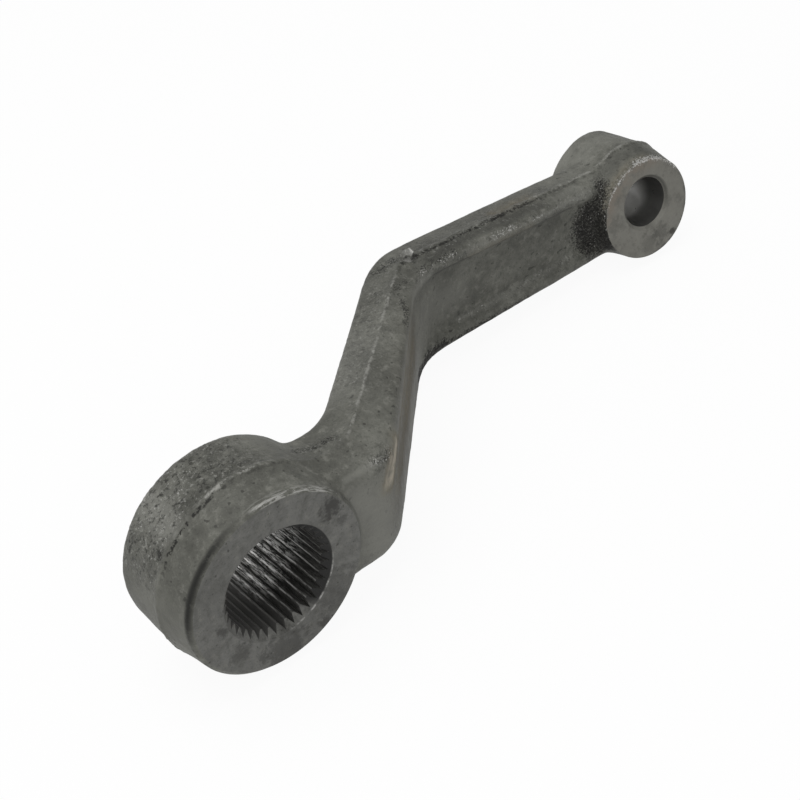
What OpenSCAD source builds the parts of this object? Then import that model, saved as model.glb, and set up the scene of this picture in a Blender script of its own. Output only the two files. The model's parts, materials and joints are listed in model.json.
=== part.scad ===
// Forged steel pitman arm: a serrated eye for the steering sector shaft, a cranked arm with a ribbed
// outer half, and a smaller leaning eye with a taper bore for a ball stud. One forging, machined at
// the two front faces and in the two bores. X runs along the arm, Y runs from the front faces to the
// back, Z is up as the arm lies on its side. The origin is on the sector shaft's axis, in the front face.

/* [Shaft eye] */
// Length of the shaft eye along its bore
shaft_eye_len = 29; // [26:0.5:34]
// Radius of the shaft eye's machined front face, before its edge
shaft_face_r = 26; // [24.5:0.25:27.5]
// Radius of the shaft eye at the parting line
shaft_parting_r = 27.5; // [27:0.25:30]
// Radius of the shaft eye at the start of its back edge
shaft_back_r = 27.2; // [26:0.1:28.5]
// Depth of the parting line behind the shaft eye's front face
shaft_parting_y = 11.6; // [9:0.2:14]
// Radius of the break on the front face's rim
shaft_front_edge = 1; // [0.5:0.1:1.8]
// Radius of the rounded back rim
shaft_back_edge = 3; // [1.5:0.25:4.5]

/* [Serrated bore] */
// Number of serrations round the bore
serration_count = 36; // [24:1:40]
// Radius at the crests of the serrations
serration_crest_r = 14.2; // [13:0.1:14.4]
// Radius at the roots of the serrations, half the shaft's nominal size
serration_root_r = 15.875; // [15.2:0.025:17]
// Share of the crest circle left as flat land
serration_land = 0.24; // [0.22:0.01:0.4]
// Width by which the lead-in chamfers at both ends of the bore run past the roots
serration_lead = 0.5; // [0.2:0.1:2]

/* [Stud eye] */
// Distance between the centres of the two front faces along the arm
eye_distance = 187; // [170:1:215]
// Depth of the stud eye's front face behind the shaft eye's
eye_drop = 55.3; // [50:0.5:60]
// Length of the stud eye along its bore
stud_eye_len = 29; // [27:0.5:34]
// Radius of the stud eye at the parting line
stud_parting_r = 18.3; // [17.8:0.1:20]
// Depth of the parting line behind the middle of the stud eye's front face
stud_parting_y = 11.6; // [9:0.2:14]
// Radius of the stud eye's faced ends, before their chamfers
stud_face_r = 16.4; // [15:0.1:17.4]
// Radius of the rounded forged rims
stud_edge = 1.5; // [0.5:0.25:2.5]
// Draft of the stud eye's forged side in front of the parting line, in degrees
stud_front_draft = 9; // [3:0.5:10]
// Draft of the stud eye's forged side behind the parting line, in degrees
stud_back_draft = 6; // [3:0.5:9]
// Depth of the stud eye's middle below the line of the arm
stud_eye_low = 0.6; // [0:0.1:1.5]
// Lean of the stud eye's front face upwards, in degrees
stud_lean = 9; // [0:0.5:12]
// Turn of the stud eye's front face towards the shaft eye, in degrees
stud_turn = 6; // [0:0.5:9]

/* [Taper bore] */
// Radius of the taper bore just inside its front chamfer
taper_mouth_r = 8.1; // [7:0.1:9]
// Growth in diameter for each unit of length, as on a standard ball stud
taper_rate = 0.125; // [0.08:0.005:0.16]
// Width of the chamfer at both ends of the taper bore
taper_chamfer = 1.1; // [0.5:0.1:1.5]
// Height of the taper bore above the middle of its eye
taper_offset = 2.2; // [0:0.1:3]

/* [Arm outline] */
// Half width of the arm at the parting line where it leaves the shaft eye
root_half_w = 18.2; // [17:0.1:20]
// Half width of the arm at the parting line at the outer bend
bend_half_w = 17.4; // [15.5:0.1:18.5]
// Half width of the arm at the parting line at the stud eye
tip_half_w = 14.3; // [13:0.1:15.5]
// Draft of the forged sides, in degrees
draft = 7.3; // [4:0.1:9]
// Radius of the fillets between the arm and the shaft eye
root_fillet = 16.5; // [9:0.5:18]
// Radius of the fillets between the arm and the stud eye
tip_fillet = 9; // [5:0.5:12]
// Radius of the rounded long edges along the outer arm and the back
edge_r = 2.2; // [1.4:0.1:3.2]
// Radius of the rounded front edges where the arm leaves the shaft eye
root_edge_r = 4.4; // [3:0.2:6]
// Width of the flash ridge left along the parting line
flash_w = 2; // [1:0.2:3]
// Height of the flash ridge left along the parting line
flash_h = 0.5; // [0.2:0.1:1]

/* [Crank] */
// Depth of the arm's front below the shaft eye's front face
root_front = 2.5; // [1.5:0.25:5]
// Thickness of the arm from front to back at the shaft eye
root_thick = 23; // [20:0.5:25]
// Depth of the outer arm's front behind the stud eye's front face
tip_front = 5.4; // [3:0.2:7]
// Thickness of the outer arm from front to back
tip_thick = 15.8; // [14:0.1:17.5]
// Distance from the shaft axis to the inner bend of the front
front_bend_in = 39; // [37:0.5:44]
// Distance from the shaft axis to the outer bend of the front
front_bend_out = 96; // [90:0.5:105]
// Distance from the shaft axis to the inner bend of the parting line
parting_bend_in = 32; // [30:0.5:36]
// Distance from the shaft axis to the outer bend of the parting line
parting_bend_out = 95.4; // [88:0.2:103]
// Distance from the shaft axis to the inner bend of the back
back_bend_in = 34.3; // [32:0.1:38]
// Distance from the shaft axis to the outer bend of the back
back_bend_out = 91.7; // [88:0.1:102]
// Half length of the rounding at the inner bends
bend_in_round = 6; // [3:0.5:8]
// Half length of the rounding at the outer bend of the front
front_out_round = 10; // [5:0.5:12]
// Half length of the rounding at the outer bend of the parting line
parting_out_round = 3; // [1:0.5:10]
// Half length of the rounding at the outer bend of the back
back_out_round = 10; // [4:0.2:12]

/* [Web pocket] */
// Depth of the recessed web below the ribs
pocket_depth = 2.6; // [1:0.1:3]
// Width of the ribs' flat crests
rib_w = 1.6; // [1:0.1:3]
// Width of the slope from a rib down to the web
pocket_slope = 2.6; // [1.5:0.1:4]
// Distance from the outer bend of the front to where the pocket starts
pocket_start = -10; // [-14:0.5:6]
// Length over which the pocket sinks to its full depth
pocket_run = 26; // [8:0.5:34]
// Radius of the fillet between the web and the stud eye
web_fillet = 3.8; // [3.5:0.1:4.4]

/* [Hidden] */
$fn = 96;

// Colour of the forged steel
forged_grey = [0.35, 0.35, 0.33];
// Room by which a cutter runs past the face that it cuts
past = 1;
// Straight steps in a rounded rim
rim_steps = 4;
// Straight steps in a rounded long edge
edge_steps = 4;
// Straight steps in the slope from a rib to the web
slope_steps = 4;
// Straight steps across half of the web
web_steps = 4;
// Share of the web fillet's radius that it runs, which leaves out its steepest part
fillet_share = 0.85;
// Spacing of the arm's sections in the fillet between the web and the stud eye
fillet_step = 1.1;
// Spacing of the arm's sections near its other fillets and bends
fine_step = 2.2;
// Spacing of the arm's sections along its straight runs
plain_step = 5;
// Place where the arm starts inside the shaft eye, within what the bore cuts away
arm_start = serration_crest_r/3;

// Levels of the arm's front, parting line and back at its two ends
tip_front_y = eye_drop + tip_front;
tip_parting_y = eye_drop + stud_parting_y;
tip_back_y = tip_front_y + tip_thick;
root_back = root_front + root_thick;

// Angle between serrations, and half the angle that one groove takes at the crests
serration_pitch = 360/serration_count;
groove_half = serration_pitch*(1 - serration_land)/2;

// Pitch about the shaft axis at which both eyes lie on one level
lay_pitch = asin((shaft_parting_r - stud_parting_r - stud_eye_low)/eye_distance);

// Zero below a corner and slope one above it, with the corner eased over r on both sides
function eased(t, r) = t <= -r ? 0 : t >= r ? t : pow(t + r, 2)/(4*r);

// Level that leaves y1 at one bend and reaches y2 at the next, with the outer bend eased over out_round
function crank(x, y1, y2, x1, x2, out_round) =
    y1 + (y2 - y1)/(x2 - x1)*(eased(x - x1, bend_in_round) - eased(x - x2, out_round));
function front_y(x) = crank(x, root_front, tip_front_y, front_bend_in, front_bend_out, front_out_round);
function parting_y(x) =
    crank(x, shaft_parting_y, tip_parting_y, parting_bend_in, parting_bend_out, parting_out_round);
function back_y(x) = crank(x, root_back, tip_back_y, back_bend_in, back_bend_out, back_out_round);

// Smooth step from 0 to 1 as t goes from 0 to 1
function smooth(t) = let (c = max(0, min(1, t))) c*c*(3 - 2*c);

// Place along the arm of the centre of a fillet between a side at height h and an eye of radius r
function fillet_x(r, h, fillet) = sqrt(pow(r + fillet, 2) - pow(h + fillet, 2));
// Rise of that fillet above the side, at distance d before its end on the side
function fillet_rise(d, reach, fillet) =
    let (c = max(0, min(reach, d))) fillet - sqrt(fillet*fillet - c*c);

root_fillet_x = fillet_x(shaft_parting_r, root_half_w, root_fillet);
root_fillet_reach = root_fillet_x*root_fillet/(shaft_parting_r + root_fillet);
tip_fillet_x = fillet_x(stud_parting_r, tip_half_w, tip_fillet);
tip_fillet_reach = tip_fillet_x*tip_fillet/(stud_parting_r + tip_fillet);
web_fillet_x = eye_distance - stud_parting_r - web_fillet;

// Half width of the arm's sides at the parting line, with the fillets at both eyes
function side_z(x) =
    let (
        inner_run = smooth((x - root_fillet_x)/(parting_bend_out - root_fillet_x)),
        outer_run = max(0, x - parting_bend_out)/(eye_distance - parting_bend_out)
    )
    root_half_w + (bend_half_w - root_half_w)*inner_run + (tip_half_w - bend_half_w)*outer_run
    + fillet_rise(root_fillet_x - x, root_fillet_reach, root_fillet)
    + fillet_rise(x - (eye_distance - tip_fillet_x), tip_fillet_reach, tip_fillet);

// Height of the arm's middle, which falls to the stud eye's along the outer arm
function middle_z(x) = -stud_eye_low*smooth((x - parting_bend_out)/(eye_distance - parting_bend_out));

// Radius of the front edges along the arm
function front_edge(x) =
    root_edge_r + (edge_r - root_edge_r)*smooth((x - front_bend_in)/(front_bend_out - front_bend_in));

// Depth of the web pocket along the arm
function pocket_y(x) = pocket_depth*smooth((x - front_bend_out - pocket_start)/pocket_run);

// Depth of a point on the arm's front, at height z and sunk below the ribs, with the fillet at the stud eye
function front_point(x, z, sunk) =
    let (
        fillet = web_fillet - pocket_depth + sunk,
        wall_r = stud_parting_r - (tip_parting_y - tip_front_y - sunk)*tan(stud_front_draft),
        gap = norm([x - eye_distance, z]) - wall_r
    )
    [front_y(x) + sunk - fillet_rise(fillet - gap, fillet_share*fillet, fillet), z];

// Points of a rounded corner from direction a1 to a2 about a centre
function round_corner(cx, cy, r, a1, a2, steps) =
    [for (i = [0:steps]) let (a = a1 + (a2 - a1)*i/steps) [cx + r*cos(a), cy + r*sin(a)]];

// Upper half of the arm's section at x, as depth and height, from the front's middle to the back's
function half_section(x) =
    let (
        yf = front_y(x),
        ym = parting_y(x),
        yb = back_y(x),
        zm = side_z(x),
        zf = zm - (ym - yf)*tan(draft),
        zb = zm - (yb - ym)*tan(draft),
        rf = front_edge(x),
        crest = zf - rf - rib_w,
        web = crest - pocket_slope,
        sunk = pocket_y(x)
    )
    concat(
        [for (i = [0:web_steps - 1]) front_point(x, web*i/web_steps, sunk)],
        [for (i = [0:slope_steps]) let (t = i/slope_steps)
            front_point(x, web + pocket_slope*t, sunk*(1 - smooth(t)))],
        round_corner(yf + rf, zf - rf, rf, 180, 90 + draft, edge_steps),
        [[ym - flash_w/2, zm], [ym, zm + flash_h], [ym + flash_w/2, zm]],
        round_corner(yb - edge_r, zb - edge_r, edge_r, 90 - draft, 0, edge_steps)
    );

// Closed section at x: the upper half, then its mirror image from back to front
function section(x) =
    let (upper = half_section(x), last = len(upper) - 1, mid = middle_z(x))
    concat(
        [for (p = upper) [x, p[0], mid + p[1]]],
        [[x, back_y(x), mid]],
        [for (i = [last:-1:1]) [x, upper[i][0], mid - upper[i][1]]]
    );

// Places of the sections along the arm
function steps_between(from, to, step) =
    let (n = ceil((to - from)/step)) [for (i = [0:n - 1]) from + (to - from)*i/n];
section_places = concat(
    [arm_start],
    steps_between(root_fillet_x - root_fillet_reach, front_bend_in + bend_in_round, fine_step),
    steps_between(front_bend_in + bend_in_round, front_bend_out - front_out_round, plain_step),
    steps_between(front_bend_out - front_out_round, front_bend_out + pocket_start + pocket_run, fine_step),
    steps_between(front_bend_out + pocket_start + pocket_run, web_fillet_x, plain_step),
    steps_between(web_fillet_x, eye_distance - tip_fillet_x + tip_fillet_reach, fillet_step),
    [eye_distance - tip_fillet_x + tip_fillet_reach, eye_distance]
);

// Skin of triangles through a list of closed sections, with an end fanned out from each middle point
module loft(rings, middles) {
    sides = len(rings[0]);
    last = len(rings) - 1;
    count = len(rings)*sides;
    skin = [
        for (j = [0:last - 1], i = [0:sides - 1])
            let (a = j*sides + i, b = j*sides + (i + 1)%sides)
                each [[a, b, a + sides], [b, b + sides, a + sides]]
    ];
    near_end = [for (i = [0:sides - 1]) [(i + 1)%sides, i, count]];
    far_end = [for (i = [0:sides - 1]) [last*sides + i, last*sides + (i + 1)%sides, count + 1]];
    polyhedron(
        points = concat([for (ring = rings) each ring], middles),
        faces = concat(skin, near_end, far_end)
    );
}

// The cranked arm, from inside the shaft eye to inside the stud eye
module arm() {
    ends = [section_places[0], section_places[len(section_places) - 1]];
    loft([for (x = section_places) section(x)], [for (x = ends) [x, parting_y(x), 0]]);
}

// Turns a shape built along Z so that its base is at the front and it runs to the back
module along_depth() {
    rotate([-90, 0, 0]) children();
}

// Forged eye turned about its own axis: drafted front, flash ridge, straighter back, broken rims
module eye(face_r, parting_r, back_r, parting, length, front_edge, back_edge) {
    along_depth() rotate_extrude() polygon(concat(
        [[0, 0]],
        round_corner(face_r - front_edge, front_edge, front_edge, -90, 0, rim_steps),
        [[parting_r, parting - flash_w/2], [parting_r + flash_h, parting], [parting_r, parting + flash_w/2]],
        round_corner(back_r - back_edge, length - back_edge, back_edge, 0, 90, rim_steps),
        [[0, length]]
    ));
}

module shaft_eye() {
    eye(shaft_face_r, shaft_parting_r, shaft_back_r, shaft_parting_y,
        shaft_eye_len, shaft_front_edge, shaft_back_edge);
}

// The stud eye as forged, square to the parting plane, before its ends are faced
module stud_forging() {
    stock = stud_parting_r*(tan(stud_lean) + tan(stud_turn));
    front_len = stud_parting_y + stock;
    back_len = stud_eye_len - stud_parting_y + stock;
    front_r = stud_parting_r - front_len*tan(stud_front_draft);
    back_r = stud_parting_r - back_len*tan(stud_back_draft);
    translate([eye_distance, eye_drop - stock, -stud_eye_low])
        eye(front_r, stud_parting_r, back_r, front_len, front_len + back_len, stud_edge, stud_edge);
}

// The facing of the stud eye: what two flat cuts square to the bore leave, with a chamfer at each end
module stud_facing() {
    flare = stud_parting_r;
    along_depth() rotate_extrude() polygon([
        [0, 0],
        [stud_face_r, 0],
        [stud_face_r + flare, flare],
        [stud_face_r + flare, stud_eye_len - flare],
        [stud_face_r, stud_eye_len],
        [0, stud_eye_len],
    ]);
}

module stud_eye() {
    intersection() {
        stud_forging();
        at_stud_eye() stud_facing();
    }
}

// Places a shape on the stud eye's leaning axis, with its base in the front face
module at_stud_eye() {
    translate([eye_distance, eye_drop, -stud_eye_low]) rotate([-stud_lean, 0, -stud_turn]) children();
}

// One groove between two serrations, from inside the crests to its sharp root
module serration_groove() {
    inside_r = serration_crest_r - past;
    mouth = serration_crest_r*sin(groove_half);
    mouth_x = serration_crest_r*cos(groove_half);
    along_depth() translate([0, 0, -past]) linear_extrude(shaft_eye_len + 2*past) polygon([
        [inside_r, -mouth],
        [mouth_x, -mouth],
        [serration_root_r, 0],
        [mouth_x, mouth],
        [inside_r, mouth],
    ]);
}

module serrated_bore() {
    lead_r = serration_root_r + serration_lead;
    lead_len = lead_r - serration_crest_r;
    for (i = [0:serration_count - 1]) rotate([0, i*serration_pitch, 0]) serration_groove();
    along_depth() {
        translate([0, 0, -past]) cylinder(h = shaft_eye_len + 2*past, r = serration_crest_r);
        translate([0, 0, -past])
            cylinder(h = lead_len + 2*past, r1 = lead_r + past, r2 = serration_crest_r - past);
        translate([0, 0, shaft_eye_len - lead_len - past])
            cylinder(h = lead_len + 2*past, r1 = serration_crest_r - past, r2 = lead_r + past);
    }
}

module taper_bore() {
    deep_r = taper_mouth_r - stud_eye_len*taper_rate/2;
    translate([0, 0, taper_offset]) along_depth() {
        cylinder(h = stud_eye_len, r1 = taper_mouth_r, r2 = deep_r);
        translate([0, 0, -past]) cylinder(
            h = taper_chamfer + past, r1 = taper_mouth_r + taper_chamfer + past, r2 = taper_mouth_r);
        translate([0, 0, stud_eye_len - taper_chamfer])
            cylinder(h = taper_chamfer + past, r1 = deep_r, r2 = deep_r + taper_chamfer + past);
    }
}

module pitman_arm() {
    color(forged_grey) rotate([0, lay_pitch, 0]) difference() {
        union() {
            shaft_eye();
            arm();
            stud_eye();
        }
        serrated_bore();
        at_stud_eye() taper_bore();
    }
}

pitman_arm();
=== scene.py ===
"""A forged steel pitman arm lying on a pale studio floor.

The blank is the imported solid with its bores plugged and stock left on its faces. It is remeshed, given
the relief of forged scale, then faced, broached and reamed with cutters, as the real arm is.
"""

import json
import math

import bpy
import numpy as np
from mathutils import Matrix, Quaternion, Vector


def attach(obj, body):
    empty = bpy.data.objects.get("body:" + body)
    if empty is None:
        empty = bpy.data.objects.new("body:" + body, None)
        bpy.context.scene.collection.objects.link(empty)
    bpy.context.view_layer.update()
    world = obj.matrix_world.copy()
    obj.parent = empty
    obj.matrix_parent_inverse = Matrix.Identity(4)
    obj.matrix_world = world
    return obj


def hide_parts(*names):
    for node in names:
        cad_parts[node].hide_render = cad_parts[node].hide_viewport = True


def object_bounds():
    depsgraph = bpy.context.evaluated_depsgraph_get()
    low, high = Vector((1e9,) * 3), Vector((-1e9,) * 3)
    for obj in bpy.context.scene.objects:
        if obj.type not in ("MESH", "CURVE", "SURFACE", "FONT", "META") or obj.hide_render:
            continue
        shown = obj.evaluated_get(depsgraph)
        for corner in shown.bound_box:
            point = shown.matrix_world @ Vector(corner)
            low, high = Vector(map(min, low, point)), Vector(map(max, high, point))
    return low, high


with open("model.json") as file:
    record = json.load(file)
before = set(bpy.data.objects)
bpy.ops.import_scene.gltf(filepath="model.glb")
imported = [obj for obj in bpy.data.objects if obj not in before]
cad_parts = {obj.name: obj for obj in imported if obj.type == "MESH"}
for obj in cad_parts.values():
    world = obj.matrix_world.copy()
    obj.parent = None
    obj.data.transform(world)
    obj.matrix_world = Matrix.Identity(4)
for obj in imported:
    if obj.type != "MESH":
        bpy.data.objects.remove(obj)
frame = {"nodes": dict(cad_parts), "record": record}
cad_low, cad_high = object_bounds()

# Units: places are in metres, and MM turns millimetres into them
MM = 0.001

# The bores and faces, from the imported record
MOUNTS = {mount["name"]: mount for mount in frame["record"]["mounts"]}
SHAFT_AXIS = Vector(MOUNTS["sector_shaft_bore"]["axis"])
CREST_R = MOUNTS["sector_shaft_bore"]["dims"]["r_mm"] * MM
STUD_MOUTH = Vector(MOUNTS["ball_stud_bore"]["pos_m"])
STUD_AXIS = -Vector(MOUNTS["ball_stud_bore"]["axis"])
STUD_FRONT = Vector(MOUNTS["stud_front_face"]["pos_m"])
STUD_BACK = Vector(MOUNTS["stud_nut_face"]["pos_m"])
STUD_LEN = (STUD_BACK - STUD_FRONT).dot(STUD_AXIS)
TAPER_OFFSET = 2.2 * MM
STUD_CENTRE = STUD_MOUTH + (STUD_FRONT - STUD_MOUTH).normalized() * TAPER_OFFSET

# The shaft eye
SHAFT_CENTRE = Vector((0, 0, 0))
SHAFT_EYE_LEN = 29 * MM
SHAFT_EYE_R = 27.5 * MM
SHAFT_RIM_R = 25 * MM
SHAFT_RIM_BREAK = 1.6 * MM
RIM_LINE = 0.35 * MM
SHAFT_BREAK = SHAFT_CENTRE + SHAFT_AXIS * SHAFT_RIM_BREAK / 2
SHAFT_BREAK_R = SHAFT_RIM_R + SHAFT_RIM_BREAK / 2

# The serrated bore
SERRATIONS = 36
SERRATION_ROOT_R = 15.875 * MM
SERRATION_LEAD_R = 16.375 * MM
POINTS_A_SERRATION = 8

# How far the arm is pitched as it lies
LAY_PITCH = math.radians(2.636)

# The stud eye and its taper bore
STUD_EYE_R = 18.3 * MM
STUD_RIM_R = 16.5 * MM
STUD_RIM_BREAK = 0.7 * MM
STUD_BREAK_R = STUD_RIM_R + 0.4 * MM
TAPER_MOUTH_R = 8.1 * MM
TAPER_RATE = 0.125
TAPER_CHAMFER = 1.1 * MM

# The parting line: its depth at the two eyes and where it bends between them
SHAFT_PARTING = 11.6 * MM
STUD_PARTING = 66.9 * MM
BEND_IN = 32 * MM
BEND_OUT = 95.4 * MM
BEND_IN_ROUND = 6 * MM
BEND_OUT_ROUND = 3 * MM

# A flake of scale that stands on the flash at the outer bend
FLAKE_PLACE = Vector((99.2, 66.5, 14)) * MM
FLAKE_R = 2.5 * MM
FLAKE_HEIGHT = 3.6 * MM
FLAKE_SIDES = 5
FLAKE_TOP_R = 0.55 * FLAKE_R
FLAKE_TURN = (0.5, -0.35, 0.4)

# The blank's stock and plugs, the size of its mesh's cells, and how many triangles it may have
MERGE_GAP = 0.002 * MM
FACING_STOCK = 0.8 * MM
SHAFT_PLUG_R = SERRATION_LEAD_R + 2 * MM
STUD_PLUG_R = TAPER_MOUTH_R + 3 * MM
PLUG_POINTS = 64
CELL = 0.5 * MM
MOST_TRIANGLES = 170000

# The cutters: how far they reach past the steel, their radii, and the points round them
BORE_PAST = 4 * MM
BORE_POINTS = 96
FACING_PAST = 6 * MM
FACING_POINTS = 192
FACING_HUB_R = 0.2 * MM
SHAFT_FACING_R = SHAFT_EYE_R + 6 * MM
STUD_FACING_R = STUD_EYE_R + 4 * MM

# What tells faces apart: how near a plane lies, and how far a normal leans along an eye's axis
SLACK = 0.05 * MM
WALL_LEAN = 0.5
CONE_LEAN = 0.9
SHAFT_END_LEAN = 0.99
STUD_END_LEAN = 0.999
SMOOTH_ANGLE = math.radians(40)

# The piece's materials, in their order
FORGED, FACED, BROACHED, REAMED = range(4)


def alone(piece):
    """Selects one piece and nothing else, and makes it the active one."""
    bpy.ops.object.select_all(action="DESELECT")
    piece.select_set(True)
    bpy.context.view_layer.objects.active = piece


def places(piece):
    """The places of a piece's vertices, one row each."""
    flat = np.empty(len(piece.data.vertices) * 3)
    piece.data.vertices.foreach_get("co", flat)
    return flat.reshape(-1, 3)


def edit_picked(piece, picked):
    """Enters edit mode with only the picked vertices selected."""
    alone(piece)
    bpy.ops.object.mode_set(mode="EDIT")
    bpy.ops.mesh.select_mode(type="VERT")
    bpy.ops.mesh.select_all(action="DESELECT")
    bpy.ops.object.mode_set(mode="OBJECT")
    piece.data.vertices.foreach_set("select", picked)
    bpy.ops.object.mode_set(mode="EDIT")


def move_picked(piece, picked, by):
    """Moves the picked vertices of a piece."""
    edit_picked(piece, picked)
    bpy.ops.transform.translate(value=by)
    bpy.ops.object.mode_set(mode="OBJECT")


def finish_with(piece, kind, **settings):
    """Adds a modifier with these settings to a piece, and applies it."""
    alone(piece)
    modifier = piece.modifiers.new(kind.title(), kind)
    for name, value in settings.items():
        setattr(modifier, name, value)
    bpy.ops.object.modifier_apply(modifier=modifier.name)


def join(piece, *others):
    """Joins other pieces into the first one."""
    alone(piece)
    for other in others:
        other.select_set(True)
    bpy.ops.object.join()
    return piece


def turn_to(axis):
    """The turn that takes a primitive's own Z to an axis."""
    return Vector((0, 0, 1)).rotation_difference(axis).to_euler()


def plug(name, start, axis, length, radius):
    """A solid round plug from a start point along an axis."""
    bpy.ops.object.select_all(action="DESELECT")
    bpy.ops.mesh.primitive_cylinder_add(
        vertices=PLUG_POINTS, radius=radius, depth=length,
        location=start + axis * length / 2, rotation=turn_to(axis))
    made = bpy.context.object
    made.name = name
    return made


def turned(name, start, axis, profile, points=BORE_POINTS):
    """A closed solid turned on an axis: a circle taken through a list of depths and radii."""
    bpy.ops.object.select_all(action="DESELECT")
    depth, radius = profile[0]
    bpy.ops.mesh.primitive_circle_add(
        vertices=points, radius=radius, fill_type="NGON",
        location=start + axis * depth, rotation=turn_to(axis))
    made = bpy.context.object
    made.name = name
    bpy.ops.object.transform_apply(location=True, rotation=True, scale=True)
    bpy.ops.object.mode_set(mode="EDIT")
    bpy.ops.mesh.select_all(action="SELECT")
    for next_depth, next_radius in profile[1:]:
        step = axis * (next_depth - depth)
        bpy.ops.mesh.extrude_region_move(TRANSFORM_OT_translate={"value": step})
        share = next_radius / radius
        bpy.ops.transform.resize(value=(share, share, share), center_override=start + axis * next_depth)
        depth, radius = next_depth, next_radius
    bpy.ops.mesh.select_all(action="SELECT")
    bpy.ops.mesh.normals_make_consistent(inside=False)
    bpy.ops.object.mode_set(mode="OBJECT")
    return made


def combine(piece, operation, other):
    """Cuts another shape out of a piece or adds it on, and deletes that shape."""
    finish_with(piece, "BOOLEAN", operation=operation, solver="EXACT", object=other)
    bpy.data.objects.remove(other)


def along(points, start, axis):
    """Depth of each point along an axis from a start point, and its distance from that axis."""
    offset = points - np.array(start)
    depth = offset @ np.array(axis)
    return depth, np.linalg.norm(offset - np.outer(depth, np.array(axis)), axis=1)


def eased(t, r):
    """0 below a corner and slope one above it, with the corner eased over r on both sides."""
    return np.where(t <= -r, 0, np.where(t >= r, t, (t + r) ** 2 / (4 * r)))


def behind_parting(points):
    """How far each point lies behind the parting line, which bends twice along the arm."""
    x = points[:, 0] * math.cos(LAY_PITCH) - points[:, 2] * math.sin(LAY_PITCH)
    slope = (STUD_PARTING - SHAFT_PARTING) / (BEND_OUT - BEND_IN)
    run = eased(x - BEND_IN, BEND_IN_ROUND) - eased(x - BEND_OUT, BEND_OUT_ROUND)
    return points[:, 1] - SHAFT_PARTING - slope * run


def forging_blank():
    """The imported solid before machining: bores plugged, stock on its faces, in small even cells."""
    blank = bpy.data.objects.new("pitman_arm_forging", frame["nodes"]["pitman_arm"].data.copy())
    bpy.context.scene.collection.objects.link(blank)
    blank.data.materials.clear()
    alone(blank)
    bpy.ops.object.mode_set(mode="EDIT")
    bpy.ops.mesh.select_all(action="SELECT")
    bpy.ops.mesh.remove_doubles(threshold=MERGE_GAP)
    bpy.ops.object.mode_set(mode="OBJECT")

    points = places(blank)
    shaft_depth, shaft_r = along(points, SHAFT_CENTRE, SHAFT_AXIS)
    front_rim = (shaft_depth < SHAFT_RIM_BREAK) & (shaft_r < SHAFT_EYE_R)
    move_picked(blank, front_rim, -SHAFT_AXIS * FACING_STOCK)
    stud_depth = along(points, STUD_CENTRE, STUD_AXIS)[0]
    near_stud = points[:, 0] > STUD_MOUTH.x - STUD_EYE_R
    move_picked(blank, near_stud & (stud_depth < SLACK), -STUD_AXIS * FACING_STOCK)
    move_picked(blank, near_stud & (stud_depth > STUD_LEN - SLACK), STUD_AXIS * FACING_STOCK)

    shaft_plug = plug("shaft_plug", -SHAFT_AXIS * FACING_STOCK, SHAFT_AXIS,
                      SHAFT_EYE_LEN + FACING_STOCK, SHAFT_PLUG_R)
    stud_plug = plug("stud_plug", STUD_MOUTH - STUD_AXIS * FACING_STOCK, STUD_AXIS,
                     STUD_LEN + 2 * FACING_STOCK, STUD_PLUG_R)
    join(blank, shaft_plug, stud_plug)
    finish_with(blank, "REMESH", mode="VOXEL", voxel_size=CELL)
    finish_with(blank, "SMOOTH", factor=0.5, iterations=3)
    ease_roots(blank)
    return blank


def weigh(piece, name, weights):
    """Makes a vertex group of the given weights."""
    group = piece.vertex_groups.new(name=name)
    steps = 16
    levels = np.round(np.clip(weights, 0, 1) * steps).astype(int)
    for level in range(1, steps + 1):
        chosen = np.flatnonzero(levels == level)
        if len(chosen):
            group.add(chosen.tolist(), level / steps, "REPLACE")
    return group.name


def clouds(name, size, detail, hard):
    """A cloud texture for displacing, with lumps of about the given size."""
    texture = bpy.data.textures.new(name, "CLOUDS")
    texture.noise_scale = size
    texture.noise_depth = detail
    texture.noise_type = "HARD_NOISE" if hard else "SOFT_NOISE"
    return texture


def fade(value, start, end):
    """0 where a value is at start or before, 1 at end or after, and smooth between them."""
    t = np.clip((value - start) / (end - start), 0, 1)
    return t * t * (3 - 2 * t)


def flash_mask(points):
    """1 on the crest of the flash ridge, falling to 0 within about a ridge's width."""
    return np.exp(-(behind_parting(points) / (0.9 * MM)) ** 2)


def root_mask(points, side, centre, axis, radius):
    """1 where the arm runs into an eye on one side, behind the eye's face, falling to 0 round it."""
    depth, r = along(points, centre, axis)
    return side * fade(depth, 1 * MM, 3 * MM) * np.exp(-((r - radius) / (4 * MM)) ** 2)


def ease_roots(blank):
    """Rounds the hollows where the arm runs into its two eyes."""
    points = places(blank)
    stud_side = fade(STUD_CENTRE.x - points[:, 0], 3 * MM, 9 * MM)
    stud_root = root_mask(points, stud_side, STUD_CENTRE, STUD_AXIS, STUD_EYE_R)
    shaft_side = fade(points[:, 0], 8 * MM, 14 * MM)
    shaft_root = root_mask(points, shaft_side, SHAFT_CENTRE, SHAFT_AXIS, SHAFT_EYE_R)
    roots = weigh(blank, "roots", np.maximum(stud_root, shaft_root) * (1 - 0.8 * flash_mask(points)))
    finish_with(blank, "SMOOTH", factor=0.5, iterations=28, vertex_group=roots)


def flash_shadow_share(points):
    """How much painted shadow lies in front of the flash: on the shaft eye's upper left and the outer
    arm.
    """
    x = points[:, 0]
    angle = np.degrees(np.arctan2(points[:, 2], -x))
    at_shaft = fade(angle, 20, 40) * (1 - 0.6 * fade(x, -9 * MM, 2 * MM)) * (x < 16 * MM)
    outer = fade(x, BEND_OUT - 4 * MM, BEND_OUT + 4 * MM) * (1 - 0.65 * fade(x, 136 * MM, 152 * MM))
    return np.maximum(at_shaft, outer)


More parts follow.
